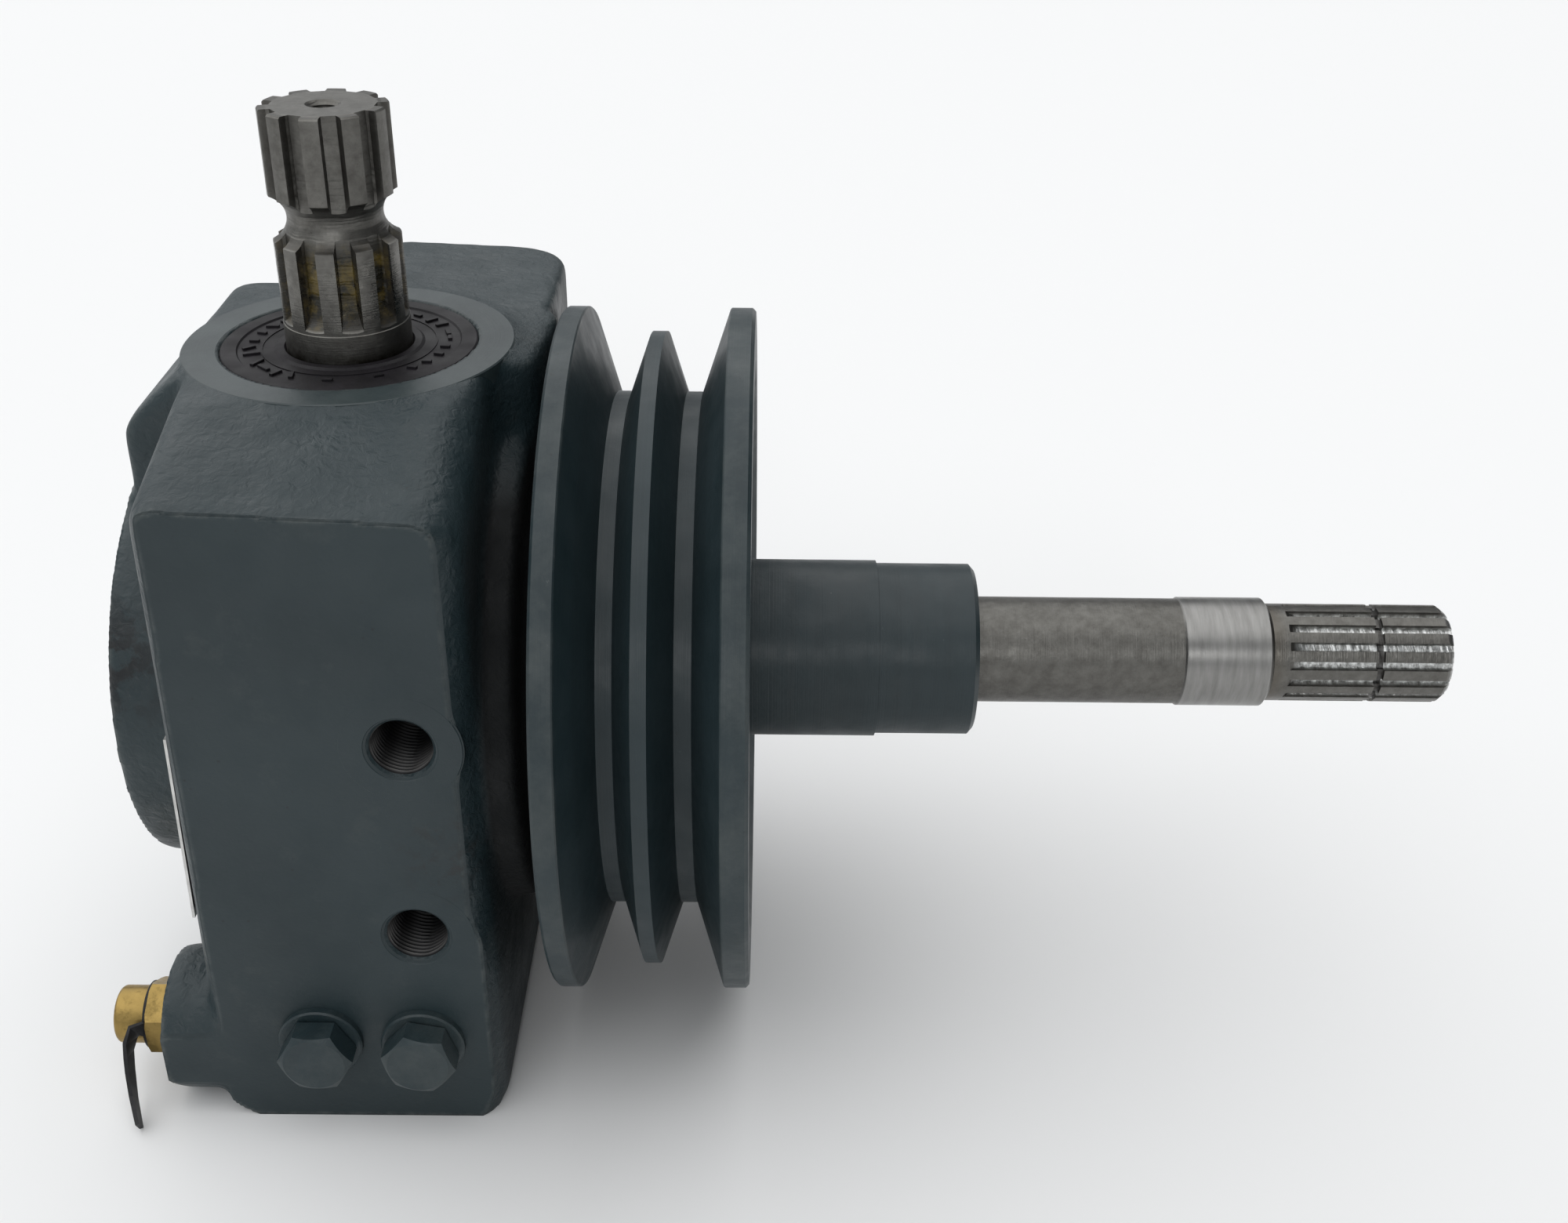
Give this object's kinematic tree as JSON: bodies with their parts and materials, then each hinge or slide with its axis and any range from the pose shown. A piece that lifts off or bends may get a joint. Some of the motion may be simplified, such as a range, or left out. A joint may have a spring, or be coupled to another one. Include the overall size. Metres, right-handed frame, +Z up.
{
  "type": "right angle bevel gearbox",
  "caption": "Cast right angle bevel gearbox with splined input shaft, long splined cross shaft and a twin V-belt pulley.",
  "frame": {"origin": "on the base face, directly under the input shaft's axis", "axes": "+Z up along the input shaft, +X along the cross shaft towards the pulley and the splined output end, -Y out of the machined front pad"},
  "size_m": [0.407, 0.209, 0.2826],
  "materials": {
    "painted_cast": "dark blue-green grey machine paint on cast iron",
    "seal_rubber": "black nitrile rubber",
    "spring_steel": "dark phosphated spring steel",
    "bearing_steel": "ground bearing steel",
    "painted_steel": "machine paint over plated steel",
    "brass": "dull turned brass",
    "strap_rubber": "black rubber strip",
    "plate_aluminium": "blank anodised plate",
    "shaft_steel": "turned and milled steel",
    "gear_steel": "case-hardened steel with an oil film",
    "painted_pulley": "machine paint over turned cast iron"
  },
  "bodies": {
    "gear_case": {"housing": "painted_cast", "left_cover": "painted_cast", "cover_o_ring": "seal_rubber", "cover_retaining_ring": "spring_steel", "input_seal": "seal_rubber", "input_bearing_retaining_ring": "spring_steel", "input_shim": "bearing_steel", "cross_shaft_seal": "seal_rubber", "right_bearing_retaining_ring": "spring_steel", "right_bearing_shim": "bearing_steel", "front_bolts": "painted_steel", "front_bolt_washers": "painted_steel", "breather_body": "brass", "breather_cap": "brass", "breather_strap": "strap_rubber", "nameplate": "plate_aluminium", "nameplate_rivets": "plate_aluminium", "nameplate_backing": "strap_rubber", "input_bearing_lower_outer_ring": "bearing_steel", "input_bearing_upper_outer_ring": "bearing_steel", "cross_bearing_left_outer_ring": "bearing_steel", "cross_bearing_right_outer_ring": "bearing_steel"},
    "cross_shaft_group": {"cross_shaft": "shaft_steel", "crown_gear": "gear_steel", "crown_key": "bearing_steel", "crown_shim": "bearing_steel", "pulley": "painted_pulley", "pulley_key": "bearing_steel", "spacer_sleeve": "painted_pulley", "seal_sleeve": "bearing_steel", "cross_bearing_left_inner_ring": "bearing_steel", "cross_bearing_right_inner_ring": "bearing_steel"},
    "input_shaft_group": {"input_shaft": "shaft_steel", "bevel_pinion": "gear_steel", "pinion_key": "bearing_steel", "pinion_retaining_ring": "spring_steel", "input_shaft_retaining_ring": "spring_steel", "input_bearing_lower_inner_ring": "bearing_steel", "input_bearing_upper_inner_ring": "bearing_steel"},
    "input_bearing_lower_train": {"input_bearing_lower_balls": "bearing_steel", "input_bearing_lower_cage": "spring_steel"},
    "input_bearing_upper_train": {"input_bearing_upper_balls": "bearing_steel", "input_bearing_upper_cage": "spring_steel"},
    "cross_bearing_left_train": {"cross_bearing_left_balls": "bearing_steel", "cross_bearing_left_cage": "spring_steel"},
    "cross_bearing_right_train": {"cross_bearing_right_balls": "bearing_steel", "cross_bearing_right_cage": "spring_steel"}
  },
  "joints": [
    {"name": "cross_shaft_spin", "type": "hinge", "parent": "gear_case", "child": "cross_shaft_group", "pos_m": [0, 0, 0.116], "axis": [1, 0, 0], "continuous": true},
    {"name": "input_shaft_spin", "type": "hinge", "parent": "gear_case", "child": "input_shaft_group", "pos_m": [0, 0, 0.116], "axis": [0, 0, 1], "continuous": true},
    {"name": "input_bearing_lower_cage_spin", "type": "hinge", "parent": "gear_case", "child": "input_bearing_lower_train", "pos_m": [0, 0, 0.116], "axis": [0, 0, 1], "continuous": true},
    {"name": "input_bearing_upper_cage_spin", "type": "hinge", "parent": "gear_case", "child": "input_bearing_upper_train", "pos_m": [0, 0, 0.116], "axis": [0, 0, 1], "continuous": true},
    {"name": "cross_bearing_left_cage_spin", "type": "hinge", "parent": "gear_case", "child": "cross_bearing_left_train", "pos_m": [0, 0, 0.116], "axis": [1, 0, 0], "continuous": true},
    {"name": "cross_bearing_right_cage_spin", "type": "hinge", "parent": "gear_case", "child": "cross_bearing_right_train", "pos_m": [0, 0, 0.116], "axis": [1, 0, 0], "continuous": true}
  ],
  "couplings": [
    {"joint": "input_shaft_spin", "follows": "cross_shaft_spin", "ratio": 1.9167},
    {"joint": "input_bearing_lower_cage_spin", "follows": "cross_shaft_spin", "ratio": 0.7595},
    {"joint": "input_bearing_upper_cage_spin", "follows": "cross_shaft_spin", "ratio": 0.7595},
    {"joint": "cross_bearing_left_cage_spin", "follows": "cross_shaft_spin", "ratio": 0.39674},
    {"joint": "cross_bearing_right_cage_spin", "follows": "cross_shaft_spin", "ratio": 0.39626}
  ]
}
